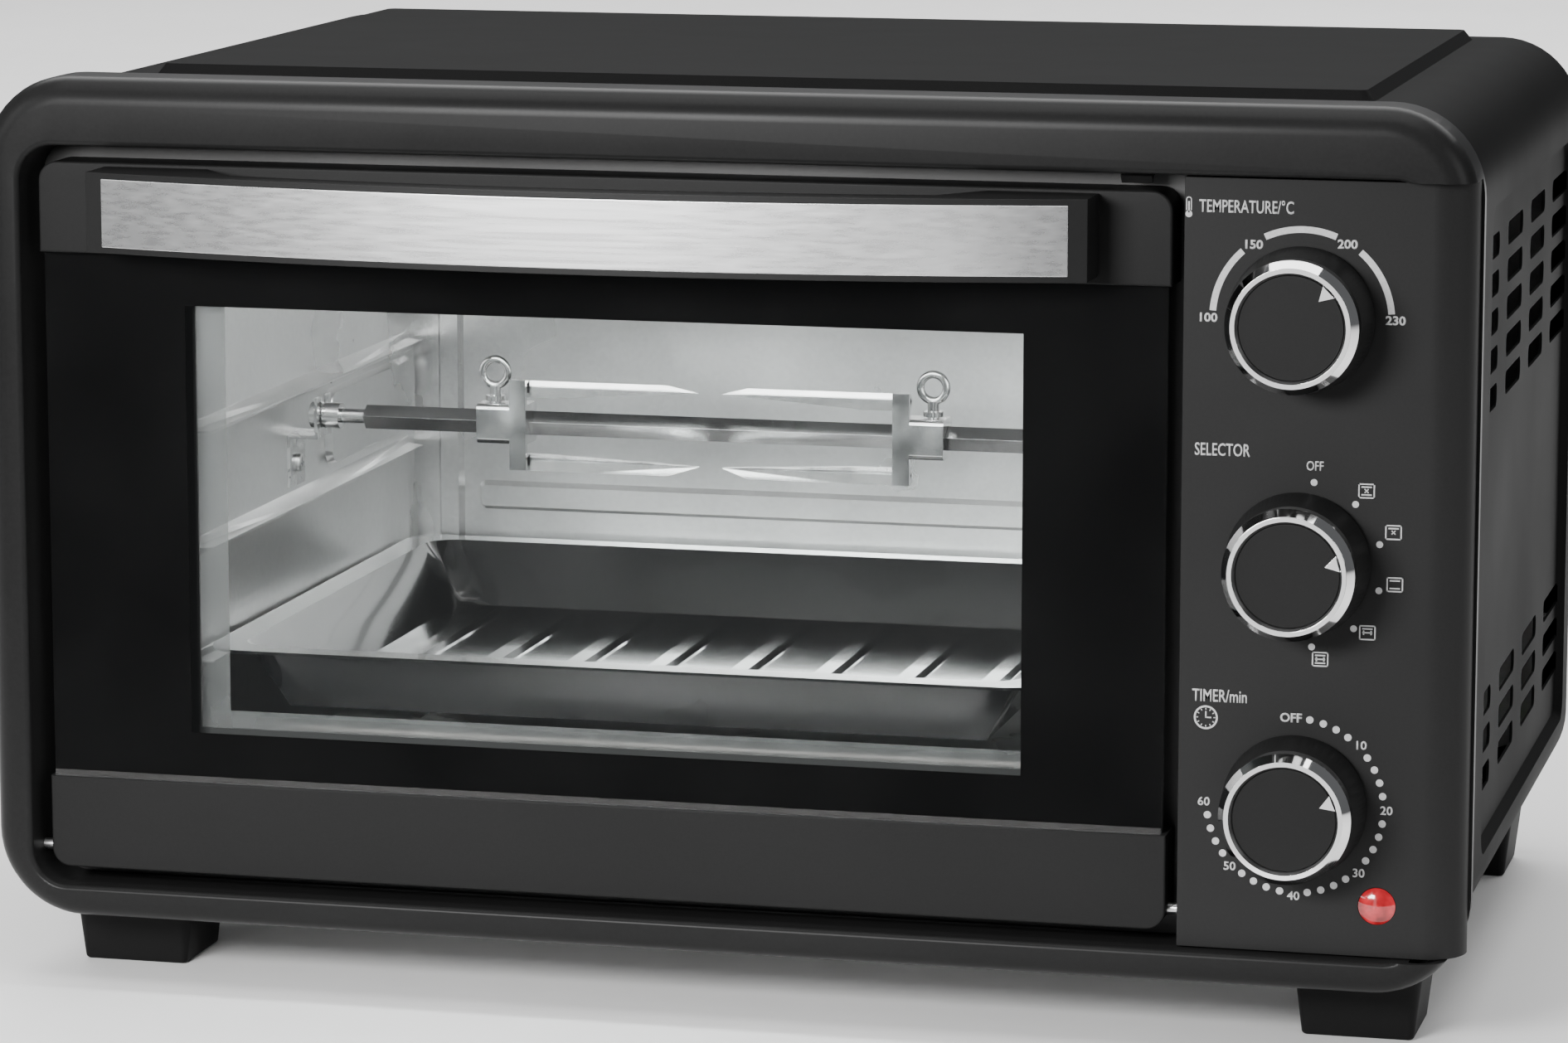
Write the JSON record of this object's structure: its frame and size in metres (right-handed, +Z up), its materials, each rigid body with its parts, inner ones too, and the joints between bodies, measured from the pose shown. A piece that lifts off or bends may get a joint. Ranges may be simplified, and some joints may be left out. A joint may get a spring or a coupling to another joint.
{
  "type": "rotisserie oven",
  "caption": "Table-top oven: drop-down glass door with bowed handle, motor-driven spit with forks, heating rods, convection fan, baking tray and rotary controls for heat, mode and time.",
  "frame": {"origin": "on the table, under the middle of the closed oven's bounding box", "axes": "+X to the user's right along the width, -Y towards the user (door side), +Z up"},
  "size_m": [0.5, 0.3632, 0.308],
  "materials": {
    "bezel_plastic": "satin moulded black",
    "panel_plastic": "satin black, printed in pale grey",
    "cover_paint": "fine-textured black powder coat",
    "plated_sheet": "zinc-plated sheet",
    "screw_steel": "zinc-plated",
    "foot_plastic": "matte black",
    "frame_paint": "heat-resistant black paint",
    "cavity_sheet": "aluminised sheet, faintly mottled",
    "heater_steel": "dull heat-tinted tube",
    "insulator_ceramic": "unglazed",
    "bracket_steel": "plated",
    "spit_chrome": "plated, slightly dulled",
    "fork_chrome": "plated, slightly dulled",
    "switch_plastic": "moulded",
    "knob_plastic": "satin black",
    "ring_chrome": "bright plated",
    "shaft_steel": "turned",
    "lens_plastic": "clear red lens",
    "door_plastic": "fine-textured black",
    "door_glass": "toughened, black border printed on its back",
    "inner_glass": "toughened",
    "handle_plastic": "satin black",
    "strip_steel": "brushed along its length",
    "tray_enamel": "glossy black enamel"
  },
  "bodies": {
    "case": {"front_bezel": "bezel_plastic", "control_panel": "panel_plastic", "outer_cover": "cover_paint", "base_plate": "plated_sheet", "rear_panel": "plated_sheet", "rear_screws": "screw_steel", "cord_gland": "foot_plastic", "foot_front_left": "foot_plastic", "foot_front_right": "foot_plastic", "foot_rear_left": "foot_plastic", "foot_rear_right": "foot_plastic", "foot_screws": "screw_steel", "front_frame": "frame_paint", "cavity_left_wall": "cavity_sheet", "cavity_right_wall": "cavity_sheet", "cavity_rear_wall": "cavity_sheet", "cavity_ceiling": "cavity_sheet", "cavity_floor": "cavity_sheet", "heater_upper_front": "heater_steel", "heater_upper_rear": "heater_steel", "heater_lower_front": "heater_steel", "heater_lower_rear": "heater_steel", "heater_insulators": "insulator_ceramic", "spit_bracket": "bracket_steel", "spit_bracket_screw": "screw_steel", "spit_motor": "plated_sheet", "thermostat": "switch_plastic", "selector_switch": "switch_plastic", "timer_unit": "switch_plastic", "pilot_lens": "lens_plastic", "pilot_holder": "switch_plastic", "fan_housing": "plated_sheet", "fan_motor": "screw_steel", "hinge_pins": "screw_steel", "door_catch": "shaft_steel"},
    "door": {"door_top_cap": "door_plastic", "door_bottom_rail": "door_plastic", "door_outer_glass": "door_glass", "door_inner_frame": "frame_paint", "door_inner_glass": "inner_glass", "handle_body": "handle_plastic", "handle_strip": "strip_steel", "door_screws": "screw_steel"},
    "temperature_control": {"knob_temperature": "knob_plastic", "knob_ring_temperature": "ring_chrome", "shaft_temperature": "shaft_steel"},
    "selector_control": {"knob_selector": "knob_plastic", "knob_ring_selector": "ring_chrome", "shaft_selector": "shaft_steel"},
    "timer_control": {"knob_timer": "knob_plastic", "knob_ring_timer": "ring_chrome", "shaft_timer": "shaft_steel"},
    "spit": {"spit_rod": "spit_chrome", "drive_socket": "bracket_steel"},
    "left_fork": {"fork_left": "fork_chrome"},
    "right_fork": {"fork_right": "fork_chrome"},
    "left_thumb_screw": {"thumb_screw_left": "fork_chrome"},
    "right_thumb_screw": {"thumb_screw_right": "fork_chrome"},
    "fan": {"fan_impeller": "cavity_sheet"},
    "tray": {"baking_tray": "tray_enamel"}
  },
  "joints": [
    {"name": "door_hinge", "type": "hinge", "parent": "case", "child": "door", "pos_m": [-0.0392, -0.1366, 0.0448], "axis": [1, 0, 0], "range_deg": [0, 88]},
    {"name": "temperature_turn", "type": "hinge", "parent": "case", "child": "temperature_control", "pos_m": [0.1945, -0.1436, 0.24], "axis": [0, 1, 0], "range_deg": [-135, 45]},
    {"name": "selector_turn", "type": "hinge", "parent": "case", "child": "selector_control", "pos_m": [0.1945, -0.1436, 0.1613], "axis": [0, 1, 0], "range_deg": [-64, 96]},
    {"name": "timer_turn", "type": "hinge", "parent": "case", "child": "timer_control", "pos_m": [0.1945, -0.1436, 0.0826], "axis": [0, 1, 0], "range_deg": [-67.5, 202.5]},
    {"name": "spit_spin", "type": "hinge", "parent": "case", "child": "spit", "pos_m": [0, -0.0146, 0.1775], "axis": [1, 0, 0], "continuous": true},
    {"name": "left_fork_slide", "type": "slide", "parent": "spit", "child": "left_fork", "axis": [1, 0, 0], "range_m": [-0.03, 0.003]},
    {"name": "right_fork_slide", "type": "slide", "parent": "spit", "child": "right_fork", "axis": [1, 0, 0], "range_m": [-0.003, 0.03]},
    {"name": "left_screw_turn", "type": "hinge", "parent": "left_fork", "child": "left_thumb_screw", "pos_m": [-0.111, -0.0146, 0.19], "axis": [0, 0, 1], "range_deg": [0, 720]},
    {"name": "right_screw_turn", "type": "hinge", "parent": "right_fork", "child": "right_thumb_screw", "pos_m": [0.047, -0.0146, 0.19], "axis": [0, 0, 1], "range_deg": [0, 720]},
    {"name": "fan_spin", "type": "hinge", "parent": "case", "child": "fan", "pos_m": [0.12, 0.0714, 0.172], "axis": [1, 0, 0], "continuous": true},
    {"name": "tray_slide", "type": "slide", "parent": "case", "child": "tray", "axis": [0, -1, 0], "range_m": [0, 0.08]}
  ],
  "couplings": [
    {"joint": "tray_slide", "follows": "door_hinge", "m_per_rad": 0.05}
  ]
}
